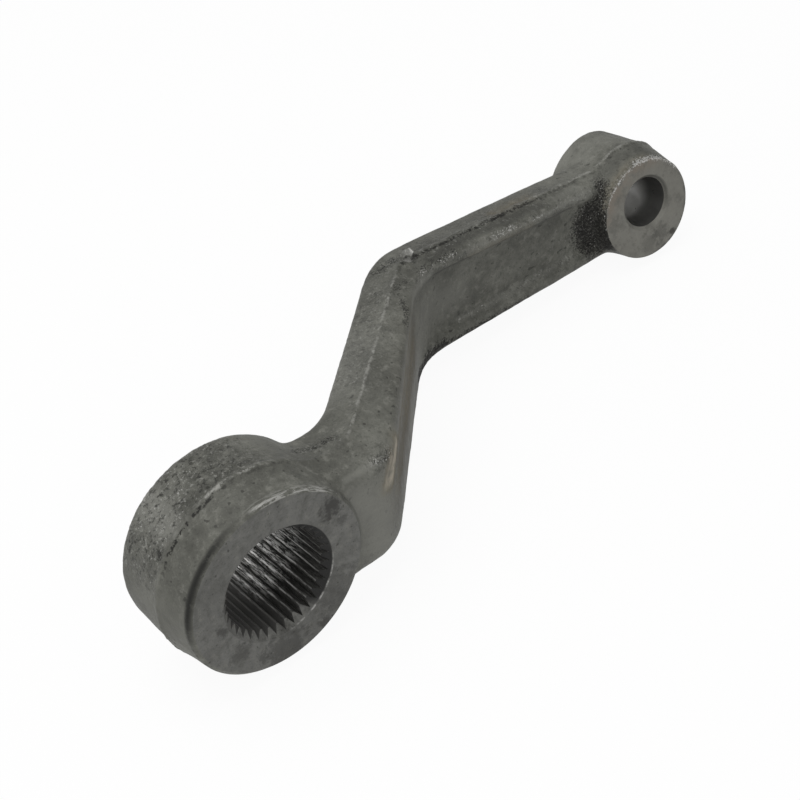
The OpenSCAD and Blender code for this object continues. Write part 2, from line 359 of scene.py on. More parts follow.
def crest_highlight_share(points):
    """How much painted highlight the flash's crest has: on the shaft eye's top, the arm's first run and
    the stud eye.
    """
    x = points[:, 0]
    shaft_top = fade(x, -12 * MM, -7 * MM) * (1 - fade(x, 8 * MM, 13 * MM))
    first_run = 0.6 * fade(x, BEND_IN, BEND_IN + 8 * MM) * (1 - fade(x, BEND_OUT - 10 * MM, BEND_OUT))
    outer = 0.15 * fade(x, BEND_OUT + 4 * MM, BEND_OUT + 10 * MM) + 0.45 * fade(x, 148 * MM, 160 * MM)
    return np.maximum(np.maximum(shaft_top, first_run), outer) * (points[:, 2] > 0)


def rim_mask(points):
    """1 at the front rims of the two eyes, where the facing breaks the forged skin."""
    shaft_depth, shaft_r = along(points, SHAFT_CENTRE, SHAFT_AXIS)
    stud_depth, stud_r = along(points, STUD_CENTRE, STUD_AXIS)
    shaft_rim = (shaft_depth < 3.5 * MM) & (shaft_r < SHAFT_EYE_R + 1 * MM)
    stud_rim = (stud_depth < 2.5 * MM) & (stud_r < STUD_EYE_R + 1 * MM)
    return (shaft_rim | stud_rim).astype(float)


def rim_run(centre, axis, radius, first, last):
    """Places along an eye's rim, in millimetres, between two angles from the top towards the left."""
    up = Vector((0, 0, 1)) - axis * axis.z
    up.normalize()
    left = up.cross(axis)
    angles = np.radians(np.linspace(first, last, 9))
    return [(centre + (up * math.cos(t) + left * math.sin(t)) * radius) / MM for t in angles]


def shaft_run(first, last):
    """Places along the break of the shaft eye's front rim."""
    return rim_run(SHAFT_BREAK, SHAFT_AXIS, SHAFT_BREAK_R, first, last)


def stud_run(first, last, radius=STUD_BREAK_R, depth=0):
    """Places round the stud eye, by its front rim or so many millimetres behind its face."""
    return rim_run(STUD_CENTRE + STUD_AXIS * depth * MM, STUD_AXIS, radius, first, last)


def mark_mask(points, marks):
    """How much each point lies in a mark: its strength on its run, falling to 0 past its half width."""
    mask = np.zeros(len(points))
    for run, width, strength in marks:
        for start, end in zip(run, run[1:]):
            start, end = np.array(start) * MM, np.array(end) * MM
            step = end - start
            share = np.clip((points - start) @ step / (step @ step), 0, 1)
            gap = np.linalg.norm(points - start - np.outer(share, step), axis=1) / (width * MM)
            mask = np.maximum(mask, strength * np.exp(-gap * gap))
    return mask


# Runs of places on the forged skin, in millimetres
STUD_ROOT = [(168.5, 62, -5), (166.5, 62.8, -10), (168.5, 62, -14.5)]
STUD_ROOT_TOP = [(172.5, 60.5, 6), (171, 61, -2)]
STUD_WALL = [(170.4, 58, -7), (170.6, 58.5, -18)]
STUD_RIM_TOP = stud_run(-28, 8)
STUD_RIM_RIGHT = stud_run(-75, -28)
STUD_RIM_LEFT = stud_run(8, 112)
CONCAVE_EDGE = [(86.3, 51.4, -16.2), (91.4, 55.7, -17.6), (96.1, 58.6, -18), (100.6, 60.1, -18.4),
                (104.2, 60.7, -18.8)]
ARM_LOW_EDGE = [(99, 59.5, -18.8), (117, 60.9, -20), (139, 61, -20.8)]
FLASH_SHADOW_LINE = [(101, 65.4, 13.2), (116, 65.8, 11.8), (128, 65.8, 10.6), (150, 65.8, 8.4)]
ROOT_SPECKS = [(34.6, 4.3, 14.1), (37.1, 3.9, 13.1), (41.4, 5.7, 12.2)]
ROOT_SCRATCHES = [(22, 18, 17.5), (27, 17, 16.6), (32, 16.5, 15.8)]
WEB_TOP = [(104, 61, 6.8), (121.4, 61.5, 5.2), (133, 61.5, 4.4), (146, 61.5, 3.2), (159, 61.5, 2.2)]
WEB_CORNER = [(86.5, 50.5, 9.2), (90.8, 54.5, 10.5), (95.8, 57.7, 9.7), (101.5, 60, 8.8)]
RIB_TOP = [(103.5, 62.5, 11.6), (113.3, 64, 11.2), (140.4, 63.6, 8.5), (150, 63.4, 7.6)]
BEND_EDGE = [(84.5, 52, 13), (83.9, 51.1, 12.8), (82.5, 47.5, 12.2), (78.5, 43.2, 12.1)]
RIB_EDGE = [(94.7, 57.2, 10.6), (99.4, 59.6, 10.5), (106.4, 61, 9.6), (122, 61, 8.1), (154.5, 60.8, 5.2),
            (167, 60.9, 4.6)]
LOW_LIP = [(112.7, 63, -15), (123.6, 62.8, -15.8), (135.3, 62.4, -16.4), (147.4, 62.5, -16.5),
           (159.9, 62.7, -16.6)]
ARM_TOP = [(104, 68, 12.2), (126.6, 70.4, 9.9), (153.5, 68.3, 7.9)]
FIRST_TOP = [(46, 33, 14.5), (62, 47, 13.8)]
BEND_SHOULDER = [(86, 56, 14), (91, 58, 13)]
BEND_TOP = [(89, 68.5, 12.5), (95, 69, 12.8), (101, 66, 13)]
FLAKE = [FLAKE_PLACE / MM, (FLAKE_PLACE + Vector((0.5, 0, 0.5)) * MM) / MM]

# Marks: each is a run, half its width in millimetres and its strength

# Soot and grit
GRIT_MARKS = (
    (STUD_ROOT, 6.0, 0.85),
    (STUD_ROOT_TOP, 3.4, 0.6),
    (STUD_WALL, 3.4, 1.1),
    (ROOT_SPECKS, 2.2, 0.3),
    (BEND_SHOULDER, 2.5, 0.3),
    (STUD_RIM_TOP, 1.6, 0.42),
    (CONCAVE_EDGE, 2.4, 0.5),
)

# Black clumps of scale, and painted shadow along the arm's low edge and in front of the flash
BLACK_MARKS = (
    (CONCAVE_EDGE, 2.6, 0.74),
    # Painted shadow along the arm's low edge
    (ARM_LOW_EDGE, 2.2, 0.6),
    (ROOT_SCRATCHES, 2.6, 0.45),
    (ROOT_SPECKS, 2.2, 0.36),
    # Painted shadow in front of the flash
    (FLASH_SHADOW_LINE, 0.7, 0.5),
    ([(128, 66.5, 10.6), (146, 66.3, 8.9)], 1.0, 0.54),
    (BEND_TOP, 3.5, 0.47),
    (BEND_EDGE, 1.8, 0.55),
    ([(96.3, 65.4, 13.4), (97.2, 65.8, 13.6)], 1.4, 0.64),
    (BEND_SHOULDER, 3.0, 0.43),
    ([(98, 60.5, 11.5), (112, 62, 10.8)], 3.0, 0.44),
    ([(-22.3, 13.3, 16.3), (-22.0, 14, 16.8)], 1.5, 0.62),
    ([(-23, 9, 13), (-23.5, 8, 11)], 1.4, 0.5),
    (stud_run(-150, -50), 0.8, 0.5),
)

# Brown stain, and the cream streak by the shaft eye
BROWN_MARKS = (
    ([(46, 9.2, 9.8), (44, 7.3, 9), (41.5, 5.4, 7.5), (39.3, 4.2, 5)], 2.7, 0.94),
    ([(41.7, 5.6, 11), (39.8, 4.2, 9.8), (38.3, 3.6, 7.8), (36.8, 3, 4.8)], 1.8, 0.72),
    ([(80, 44, 8.5), (73.4, 37.4, 8), (59, 22.7, 7.5), (46, 10, 8)], 1.6, 0.4),
    ([(62, 26, 0), (82, 46, 0)], 8.0, 0.44),
    ([(46, 9, 0), (58, 22, 0)], 7.0, 0.36),
    (stud_run(-10, 80, STUD_RIM_R + 1.5 * MM), 1.8, 0.4),
    ([(135, 69, 9.6), (148, 69, 8.4)], 2.5, 0.3),
    ([(118, 61.5, 6.4), (142, 61.5, 4.6)], 1.8, 0.2),
)

# Paler scale, with painted highlights along the rib's edge, the web's corner and the low lip
PALE_AND_HIGHLIGHT_MARKS = (
    ([(25.7, 3.4, 14.3), (30.8, 3.6, 14), (36.3, 4, 13.5)], 1.5, 0.75),
    ([(27, 3, 6), (34, 3.2, -2), (32, 2.8, -12)], 9.0, 0.82),
    (FIRST_TOP, 9.0, 0.5),
    (stud_run(0, 60, STUD_EYE_R, 18), 7.0, 0.5),
    # Painted highlights along the rib's edge, the web's corner and the low lip
    (RIB_EDGE, 1.4, 0.75),
    (WEB_CORNER, 1.9, 0.85),
    (LOW_LIP, 1.5, 0.52),
    ([(98, 59, -4), (112, 61, -6)], 9.0, 0.5),
    ([(-17.5, 16, 21), (-16.5, 25, 21.7)], 5.0, 0.9),
    ([(-9.7, 21, 25.5), (-12, 20, 24)], 5.0, 0.5),
    (stud_run(32, 66, STUD_EYE_R, 24), 5.5, 1.0),
    ([(152, 63.5, 7.6), (162, 63.5, 6.6)], 3.0, 0.4),
)

# Dimmer scale, with painted shadow round the shaft eye's rim and painted shade in the crease under the
# rib
DIM_AND_SHADE_MARKS = (
    ([(84, 56, 15), (95, 64, 14)], 9.0, 0.25),
    ([(100, 66, 13), (140, 66, 9.5)], 5.0, 0.5),
    (ARM_TOP, 5.0, 0.35),
    ([(48, 11, -2), (62, 26, -2), (82, 46, -2)], 9.0, 0.85),
    ([(4, 20, 27), (-3, 20, 26.7)], 8.0, 0.25),
    ([(100, 62, 12), (112, 62, 10.5)], 4.0, 0.5),
    # Painted shadow round the shaft eye's rim: on its upper left and left, and on its right below the
    # face's edge
    (shaft_run(10, 34), 0.8, 0.5),
    (shaft_run(28, 92), 0.8, 0.5),
    (shaft_run(-135, -60), 1.2, 1.1),
    # Painted shade in the crease under the rib
    (WEB_TOP, 1.2, 1.15),
    (RIB_TOP, 2.8, 0.75),
    (stud_run(-10, 60, STUD_EYE_R, 5), 4.5, 0.6),
)

# Even scale, with less mottle
EVEN_MARKS = (
    ([(-25.5, 21, 8), (-26.5, 14, 5), (-26.6, 6, 2)], 8.0, 1.0),
)

# Steel that is worn bare
WORN_MARKS = (
    (STUD_RIM_TOP, 0.9, 0.6),
    (STUD_RIM_LEFT, 0.5, 0.55),
    (FLAKE, 2.8, 1.05),
)

# Torn and pitted scale
TORN_MARKS = (
    (STUD_ROOT, 6.0, 1.0),
    (STUD_ROOT_TOP, 3.4, 0.8),
    (BEND_TOP, 3.0, 0.7),
    (ROOT_SCRATCHES, 2.5, 0.8),
    (ROOT_SPECKS, 2.5, 0.8),
    (RIB_EDGE, 2.0, 0.6),
    (ARM_TOP, 5.0, 0.5),
    ([(100, 66, 12.8), (150, 66, 8.6)], 3.0, 0.6),
    ([(50, 36, 14.4), (82, 60, 13.4)], 9.0, 0.55),
    (STUD_RIM_TOP, 1.6, 0.9),
    (STUD_RIM_LEFT, 1.2, 0.7),
    (CONCAVE_EDGE, 2.0, 0.8),
    (LOW_LIP, 1.6, 0.5),
)

# Glinting specks: painted highlights
GLINT_MARKS = (
    (STUD_ROOT, 5.5, 0.62),
    ([(165.5, 62.5, -3), (164.5, 62.8, -9)], 4.0, 0.85),
    (STUD_ROOT_TOP, 3.2, 0.7),
    (STUD_RIM_TOP, 1.7, 1.5),
    (STUD_RIM_RIGHT, 0.9, 0.9),
    (STUD_RIM_LEFT, 0.9, 0.95),
    (shaft_run(-62, 12), 1.0, 0.8),
    (ROOT_SPECKS, 2.2, 0.95),
    (RIB_EDGE, 1.3, 0.6),
    (LOW_LIP, 1.4, 0.65),
    ([(97.6, 59.6, 11.4), (100, 60.4, 11)], 1.6, 1.05),
    ([(107, 61, 10.2), (112, 61.1, 9.8)], 1.6, 1.1),
    ([(127, 60.9, 8.2), (136, 60.9, 7.3)], 1.8, 1.1),
    ([(144, 60.8, 6.4), (147, 60.8, 6)], 1.4, 1.0),
    ([(-10.3, 18.9, 25.3), (-11, 19.5, 25)], 2.0, 0.95),
    ([(-20.4, 23.5, 18), (-19, 24, 19)], 2.2, 0.95),
    ([(-14, 14, 24), (-19, 17, 20)], 3.5, 0.68),
    ([(-7, 21, 26.3), (-17, 21, 21.4)], 5.0, 0.7),
    ([(3, 16, 27.4), (7, 16.5, 26.6)], 2.0, 0.6),
)


def scale_mask(points):
    """1 where the scale is rough and pitted: on the shaft eye's upper left and at torn marks."""
    depth, r = along(points, SHAFT_CENTRE, SHAFT_AXIS)
    angle = np.degrees(np.arctan2(points[:, 2], -points[:, 0]))
    on_side = fade(r, SHAFT_EYE_R - 4 * MM, SHAFT_EYE_R - 2 * MM) * fade(-points[:, 0], -14 * MM, -2 * MM)
    band = on_side * fade(angle, 2, 28) * fade(depth, 11 * MM, 14 * MM)
    return np.maximum(band, mark_mask(points, TORN_MARKS))


def calm_mask(points):
    """0 at the faced rims of the two eyes, rising to 1 away from them."""
    shaft_depth, shaft_r = along(points, SHAFT_CENTRE, SHAFT_AXIS)
    stud_depth, stud_r = along(points, STUD_CENTRE, STUD_AXIS)
    shaft_rim = (1 - fade(shaft_depth, 2 * MM, 6 * MM)) * (shaft_r < SHAFT_EYE_R + 2 * MM)
    stud_rim = (1 - fade(stud_depth, 1 * MM, 4 * MM)) * (stud_r < STUD_EYE_R + 5 * MM)
    return 1 - np.maximum(shaft_rim, stud_rim)


def add_relief(blank):
    """Displaces the blank's surface as forging and scale leave it."""
    points = places(blank)
    calm = calm_mask(points)
    skin = weigh(blank, "open_skin", 0.25 + 0.75 * calm)
    flash = weigh(blank, "flash", flash_mask(points))
    rough = weigh(blank, "rough_scale", scale_mask(points) * calm)
    for name, size, detail, hard, strength, still, where in (
            ("forging_waves", 18, 2, False, 0.4, 0.5, skin),
            ("scale_lumps", 3, 4, False, 0.16, 0.5, skin),
            ("scale_pits", 1.3, 4, False, 0.4, 0.45, rough),
            ("flash_tears", 5, 4, True, 0.8, 0.3, flash)):
        finish_with(blank, "DISPLACE", texture=clouds(name, size * MM, detail, hard),
                    texture_coords="LOCAL", strength=strength * MM, mid_level=still, vertex_group=where)
    blank.vertex_groups.clear()
    triangles = 2 * len(blank.data.polygons)
    finish_with(blank, "DECIMATE", ratio=min(1, MOST_TRIANGLES / triangles))


def serrated_broach():
    """The cutter of the serrated bore: a toothed prism, with a lead-in cone at each end."""
    bpy.ops.object.select_all(action="DESELECT")
    count = SERRATIONS * POINTS_A_SERRATION
    bpy.ops.mesh.primitive_cylinder_add(
        vertices=count, radius=CREST_R, depth=SHAFT_EYE_LEN + 2 * BORE_PAST,
        location=SHAFT_AXIS * SHAFT_EYE_LEN / 2, rotation=turn_to(SHAFT_AXIS))
    broach = bpy.context.object
    broach.name = "serrated_broach"
    bpy.ops.object.transform_apply(location=True, rotation=True, scale=True)
    points = places(broach)
    turn = np.arctan2(points[:, 2], points[:, 0])
    step = np.round(turn / (2 * math.pi / count)).astype(int) % POINTS_A_SERRATION
    root_step = POINTS_A_SERRATION // 2
    for away in range(root_step - 1):
        radius = CREST_R + (SERRATION_ROOT_R - CREST_R) * (1 - away / (root_step - 1))
        edit_picked(broach, np.abs(step - root_step) == away)
        share = radius / CREST_R
        bpy.ops.transform.resize(value=(share, 1, share), center_override=SHAFT_CENTRE)
        bpy.ops.object.mode_set(mode="OBJECT")
    broach.rotation_euler.y = LAY_PITCH + math.pi / SERRATIONS
    alone(broach)
    bpy.ops.object.transform_apply(location=True, rotation=True, scale=True)
    lead = SERRATION_LEAD_R - CREST_R + BORE_PAST
    profile = [(-BORE_PAST, SERRATION_LEAD_R + BORE_PAST), (lead, CREST_R - BORE_PAST)]
    for name, start, axis in (("front_lead_in", SHAFT_CENTRE, SHAFT_AXIS),
                              ("back_lead_in", SHAFT_AXIS * SHAFT_EYE_LEN, -SHAFT_AXIS)):
        combine(broach, "UNION", turned(name, start, axis, profile))
    return broach


def flake():
    """The angular flake of scale that stands on the flash."""
    bpy.ops.object.select_all(action="DESELECT")
    bpy.ops.mesh.primitive_cone_add(
        vertices=FLAKE_SIDES, radius1=FLAKE_R, radius2=FLAKE_TOP_R, depth=FLAKE_HEIGHT,
        location=FLAKE_PLACE, rotation=FLAKE_TURN)
    return bpy.context.object


def taper_reamer():
    """The cutter of the taper bore, with a chamfer at each end."""
    deep_r = TAPER_MOUTH_R - STUD_LEN * TAPER_RATE / 2
    return turned("taper_reamer", STUD_MOUTH, STUD_AXIS, [
        (-BORE_PAST, TAPER_MOUTH_R + TAPER_CHAMFER + BORE_PAST),
        (TAPER_CHAMFER, TAPER_MOUTH_R),
        (STUD_LEN - TAPER_CHAMFER, deep_r),
        (STUD_LEN + BORE_PAST, deep_r + TAPER_CHAMFER + BORE_PAST),
    ])


def facing_cutter(name, centre, axis, rim_r, rim_break, outer_r):
    """A cutter that faces an eye: flat within the rim, then a 45 degree break, then clear of the rest."""
    return turned(name, centre, axis, points=FACING_POINTS, profile=[
        (0, FACING_HUB_R),
        (0, rim_r),
        (RIM_LINE, rim_r + RIM_LINE),
        (rim_break, rim_r + rim_break),
        (rim_break, outer_r),
        (-FACING_PAST, outer_r),
        (-FACING_PAST, FACING_HUB_R),
    ])


def machine(blank):
    """Adds the flake, faces both eyes, and cuts the serrated bore and the taper bore."""
    combine(blank, "UNION", flake())
    facing = facing_cutter("shaft_facing", SHAFT_CENTRE, SHAFT_AXIS,
                           SHAFT_RIM_R, SHAFT_RIM_BREAK, SHAFT_FACING_R)
    stud_ends = (("stud_facing", STUD_CENTRE, STUD_AXIS),
                 ("stud_back_facing", STUD_CENTRE + STUD_AXIS * STUD_LEN, -STUD_AXIS))
    stud_facings = [facing_cutter(*end, STUD_RIM_R, STUD_RIM_BREAK, STUD_FACING_R) for end in stud_ends]
    combine(blank, "DIFFERENCE", join(facing, *stud_facings))
    combine(blank, "DIFFERENCE", join(serrated_broach(), taper_reamer()))


def set_camera():
    """The camera, where the photograph was taken from."""
    place = Vector((-133.54, -249.13, 278.99)) * MM
    aim = Vector((64.95, 31.70, 0)) * MM
    roll = math.radians(-7.834)
    camera = bpy.data.objects.new("camera", bpy.data.cameras.new("camera"))
    camera.data.sensor_width = 36
    camera.data.lens = 73.56
    camera.location = place
    camera.rotation_mode = "QUATERNION"
    camera.rotation_quaternion = (aim - place).to_track_quat("-Z", "Y") @ Quaternion((0, 0, 1), roll)
    bpy.context.scene.collection.objects.link(camera)
    bpy.context.scene.camera = camera


def feed(tree, node, inputs):
    """Gives a node's inputs their links or values."""
    for name, value in inputs.items():
        if isinstance(value, bpy.types.NodeSocket):
            tree.links.new(value, node.inputs[name])
        else:
            node.inputs[name].default_value = value


def new_node(tree, kind, inputs=None, **settings):
    """Adds a shader node to a tree, with its settings and its inputs' links or values."""
    made = tree.nodes.new("ShaderNode" + kind)
    for name, value in settings.items():
        setattr(made, name, value)
    feed(tree, made, inputs or {})
    return made


def maths(tree, operation, first, second=0):
    """The output of a math node."""
    return new_node(tree, "Math", {0: first, 1: second}, operation=operation).outputs[0]


def times(tree, first, *others):
    """The product of values."""
    for other in others:
        first = maths(tree, "MULTIPLY", first, other)
    return first


def largest(tree, first, *others):
    """The largest of values."""
    for other in others:
        first = maths(tree, "MAXIMUM", first, other)
    return first


def vector_maths(tree, operation, first, second=(0, 0, 0)):
    """The output of a vector math node: a vector, or a number where the operation gives one."""
    made = new_node(tree, "VectorMath", {0: first, 1: second}, operation=operation)
    gives_number = operation in ("LENGTH", "DISTANCE", "DOT_PRODUCT")
    return made.outputs["Value" if gives_number else "Vector"]


def object_place(tree):
    """The place of the shaded point in the piece's own coordinates."""
    return tree.nodes.new("ShaderNodeTexCoord").outputs["Object"]


def parts_of(tree, vector):
    """The X, Y and Z of a vector."""
    return new_node(tree, "SeparateXYZ", {0: vector}).outputs


def noise(tree, place, size, detail, rough):
    """Noise from 0 to 1 with lumps of about the given size in millimetres."""
    return new_node(tree, "TexNoise", {"Vector": place, "Scale": 1 / (size * MM), "Detail": detail,
                                       "Roughness": rough}).outputs[0]


def remap(tree, value, start, end, low=0.0, high=1.0):
    """A value taken from the range start to end into low to high, smooth and held at both ends."""
    return new_node(tree, "MapRange", {"Value": value, "From Min": start, "From Max": end, "To Min": low,
                                       "To Max": high}, interpolation_type="SMOOTHSTEP").outputs[0]


def close_to(tree, value, middle, far, close):
    """1 where a value is as close to a middle as given, falling to 0 where it is as far as given."""
    gap = maths(tree, "ABSOLUTE", maths(tree, "SUBTRACT", value, middle))
    return remap(tree, gap, far, close)


def blend(tree, share, first, second):
    """A colour mixed from two by a share."""
    first, second = [(*colour, 1) if isinstance(colour, tuple) else colour for colour in (first, second)]
    return new_node(tree, "Mix", {0: share, 6: first, 7: second}, data_type="RGBA").outputs[2]


def attribute(tree, name):
    """The value that each vertex holds under a name."""
    return new_node(tree, "Attribute", attribute_name=name).outputs["Fac"]


def new_material(name):
    """A material with its tree and its Principled BSDF."""
    material = bpy.data.materials.new(name)
    material.use_nodes = True
    tree = material.node_tree
    return material, tree, tree.nodes["Principled BSDF"]


def floor_white():
    """A floor that looks white, and keeps some of the arm's shadow."""
    material = bpy.data.materials.new("floor_white")
    material.use_nodes = True
    tree = material.node_tree
    tree.nodes.clear()
    paint_share = 0.06
    paint = new_node(tree, "BsdfDiffuse", {"Color": (0.7, 0.7, 0.7, 1)})
    white = new_node(tree, "Emission", {"Color": (1, 1, 1, 1), "Strength": 1.0})
    ray = tree.nodes.new("ShaderNodeLightPath").outputs
    seen = largest(tree, ray["Is Camera Ray"], ray["Is Glossy Ray"], ray["Is Transmission Ray"])
    share = times(tree, seen, 1 - paint_share)
    mix = new_node(tree, "MixShader", {0: share, 1: paint.outputs[0], 2: white.outputs[0]})
    new_node(tree, "OutputMaterial", {"Surface": mix.outputs[0]})
    return material


def set_floor():
    """The floor under the arm."""
    bpy.ops.object.select_all(action="DESELECT")
    bpy.ops.mesh.primitive_plane_add(size=24, location=(0, 0, cad_low.z - 0.3 * MM))
    floor = bpy.context.object
    floor.name = "floor"
    floor.data.materials.append(floor_white())


def set_lights():
    """A white surround and three soft lamps: above, at the left and in front."""
    scene = bpy.context.scene
    scene.view_settings.view_transform = "Standard"
    world = scene.world or bpy.data.worlds.new("studio")
    scene.world = world
    world.use_nodes = True
    tree = world.node_tree
    tree.nodes.clear()
    surround = new_node(tree, "Background", {"Color": (1, 1, 1, 1), "Strength": 0.6})
    new_node(tree, "OutputWorld", {"Surface": surround.outputs[0]})

    aim = Vector((0.08, 0.03, 0))
    for name, energy, size, place in (("top_light", 6, 0.9, (-0.1, 0.12, 0.9)),
                                      ("left_light", 2, 0.8, (-0.9, -0.1, 0.4)),
                                      ("front_light", 2, 0.9, (-0.3, -1.0, 0.5))):
        lamp = bpy.data.lights.new(name, "AREA")
        lamp.shape = "DISK"
        lamp.size = size
        lamp.energy = energy
        light = bpy.data.objects.new(name, lamp)
        light.location = place
        light.rotation_mode = "QUATERNION"
        light.rotation_quaternion = (aim - light.location).to_track_quat("-Z", "Y")
        scene.collection.objects.link(light)


# Colours that more than one layer of the scale has
DARK_SCALE = (0.03, 0.03, 0.026)
BLACK_SCALE = (0.012, 0.012, 0.01)


def new_group(name, inputs, outputs):
    """An empty shader node group with the given sockets, and its tree's input and output nodes."""
    tree = bpy.data.node_groups.new(name, "ShaderNodeTree")
    for direction, sockets in (("INPUT", inputs), ("OUTPUT", outputs)):
        for socket, kind in sockets.items():
            tree.interface.new_socket(name=socket, in_out=direction, socket_type="NodeSocket" + kind)
    return tree, tree.nodes.new("NodeGroupInput"), tree.nodes.new("NodeGroupOutput")


def steel_grain_group():
    """Steel's skin: a mottled and speckled colour, its roughness, and a fine grain in the normal."""
    tree, given, put = new_group(
        "steel_grain",
        {"Dark": "Color", "Light": "Color",
         "Contrast": "Float", "Grain": "Float", "Base Roughness": "Float"},
        {"Color": "Color", "Roughness": "Float", "Normal": "Vector"})
    place = object_place(tree)
    blotch = remap(tree, noise(tree, place, 20, 5, 0.6), 0.32, 0.68)
    colour = blend(tree, blotch, given.outputs["Dark"], given.outputs["Light"])
    cloud = remap(tree, noise(tree, place, 7, 4, 0.6), 0.5, 0.3, 0, 0.35)
    colour = blend(tree, cloud, colour, (0.05, 0.05, 0.043))

    mottle = noise(tree, place, 2.6, 5, 0.65)
    fine = noise(tree, place, 0.6, 3, 0.7)
    dots = noise(tree, place, 1.7, 1, 0.4)
    for spots, tint in (
            (remap(tree, mottle, 0.5, 0.72), (0.17, 0.169, 0.15)),
            (remap(tree, mottle, 0.5, 0.3), (0.042, 0.042, 0.036)),
            (remap(tree, fine, 0.58, 0.76, 0, 0.5), (0.24, 0.238, 0.218)),
            (remap(tree, fine, 0.46, 0.28), DARK_SCALE),
            (remap(tree, dots, 0.31, 0.25), BLACK_SCALE)):
        colour = blend(tree, times(tree, spots, given.outputs["Contrast"]), colour, tint)

    uneven = remap(tree, mottle, 0.25, 0.75, -0.08, 0.1)
    rough = maths(tree, "ADD", given.outputs["Base Roughness"], uneven)
    relief = maths(tree, "ADD", fine, times(tree, mottle, 1.8))
    bump = new_node(tree, "Bump", {"Strength": given.outputs["Grain"], "Distance": 0.14 * MM,
                                   "Height": relief})
    feed(tree, put, {"Color": colour, "Roughness": rough, "Normal": bump.outputs[0]})
    return tree


def grain(tree, group, dark, light, **values):
    """Places the steel grain group in a material with its own values."""
    inputs = {name.replace("_", " ").title(): value for name, value in values.items()}
    inputs.update({"Dark": (*dark, 1), "Light": (*light, 1)})
    return new_node(tree, "Group", inputs, node_tree=group).outputs


def rim_arc(tree, place, centre, radius, width, towards, start=0.3, end=0.75):
    """1 at a round rim, on its side towards a direction, falling to 0 within a width."""
    offset = vector_maths(tree, "SUBTRACT", place, centre)
    on_rim = close_to(tree, vector_maths(tree, "LENGTH", offset), radius, width, 0)
    side = vector_maths(tree, "DOT_PRODUCT", offset, towards)
    return times(tree, on_rim, remap(tree, maths(tree, "DIVIDE", side, radius), start, end))


def scale_tones(tree, place, colour):
    """Pale and dim scale with painted highlights and shade among them, darker hollows, and the pits and
    flakes of rough scale, darkened and lightened further as painted shadows and highlights of its relief.
    """
    tone_and_painted_light = attribute(tree, "tone_and_painted_light")
    colour = blend(tree, remap(tree, tone_and_painted_light, 0, 1, 0, 0.6), colour, (0.2, 0.2, 0.18))
    colour = blend(tree, remap(tree, tone_and_painted_light, 0, -1, 0, 0.8), colour, DARK_SCALE)
    colour = blend(tree, times(tree, attribute(tree, "hollow"), 0.2), colour, DARK_SCALE)
    rough_scale = attribute(tree, "rough")
    # Pits and flakes of rough scale, with painted shadows and highlights of its relief
    pits_and_shadows = times(tree, rough_scale, remap(tree, noise(tree, place, 1.5, 5, 0.75), 0.48, 0.39))
    colour = blend(tree, times(tree, pits_and_shadows, 0.85), colour, (0.024, 0.024, 0.021))
    flakes_and_highlights = times(tree, rough_scale, remap(tree, noise(tree, place, 1.2, 5, 0.75), 0.55, 0.66))
    return blend(tree, times(tree, flakes_and_highlights, 0.65), colour, (0.3, 0.3, 0.28))


def stain_and_soot(tree, place, patchy, colour):
    """Brown stain, black clumps with painted shadow among them, and soot with lighter grains: the colour,
    and how dull they make it.
    """
    gritty = remap(tree, noise(tree, place, 0.5, 2, 0.6), 0.33, 0.67)
    stained = attribute(tree, "brown")
    stain = blend(tree, remap(tree, stained, 0.42, 0.8), (0.225, 0.195, 0.14), (0.37, 0.333, 0.27))
    brown = times(tree, stained, remap(tree, patchy, 0.31, 0.6, 0.35, 1))
    colour = blend(tree, times(tree, brown, 0.85), colour, stain)

    ragged = maths(tree, "ADD", times(tree, patchy, 0.7), times(tree, gritty, 0.3))
    clumps_and_shadow = remap(tree, maths(tree, "SUBTRACT", attribute(tree, "black"), ragged), -0.08, 0.1)
    colour = blend(tree, times(tree, clumps_and_shadow, 0.8), colour, (0.013, 0.013, 0.012))

    sooty = attribute(tree, "grit")
    spread = maths(tree, "ADD", times(tree, gritty, 0.4), times(tree, patchy, 0.5))
    soot = remap(tree, maths(tree, "SUBTRACT", times(tree, sooty, 1.05), spread), -0.2, 0.25)
    soot = times(tree, soot, remap(tree, sooty, 0.03, 0.2))
    colour = blend(tree, times(tree, soot, 0.94), colour, (0.009, 0.0088, 0.0078))
    grains = remap(tree, noise(tree, place, 0.6, 3, 0.65), 0.48, 0.66, 0, 0.55)
    colour = blend(tree, times(tree, soot, grains), colour, (0.11, 0.107, 0.097))
    return colour, largest(tree, remap(tree, brown, 0, 0.4), soot, clumps_and_shadow)


def flash_line(tree, place, patchy, colour):
    """Painted shadow in front of the flash, and a painted highlight on the flash's crest."""
    wobble = remap(tree, patchy, 0.3, 0.7, -0.25 * MM, 0.25 * MM)
    behind = maths(tree, "ADD", attribute(tree, "behind_parting"), wobble)
    # Painted shadow in front of the flash ridge, ragged and broken
    flash_shadow = close_to(tree, behind, -1.1 * MM, 0.7 * MM, 0.25 * MM)
    flash_shadow = times(tree, flash_shadow, attribute(tree, "flash_shadow"))
    flash_shadow = times(tree, flash_shadow, remap(tree, noise(tree, place, 1.6, 3, 0.7), 0.45, 0.55))
    colour = blend(tree, flash_shadow, colour, BLACK_SCALE)
    # Painted highlight on the flash's crest
    crest = close_to(tree, behind, 0, 0.8 * MM, 0.2 * MM)
    crest = times(tree, crest, attribute(tree, "crest"))
    crest = times(tree, crest, remap(tree, noise(tree, place, 3, 5, 0.75), 0.46, 0.56, 0, 0.75))
    return blend(tree, crest, colour, (0.26, 0.258, 0.24))


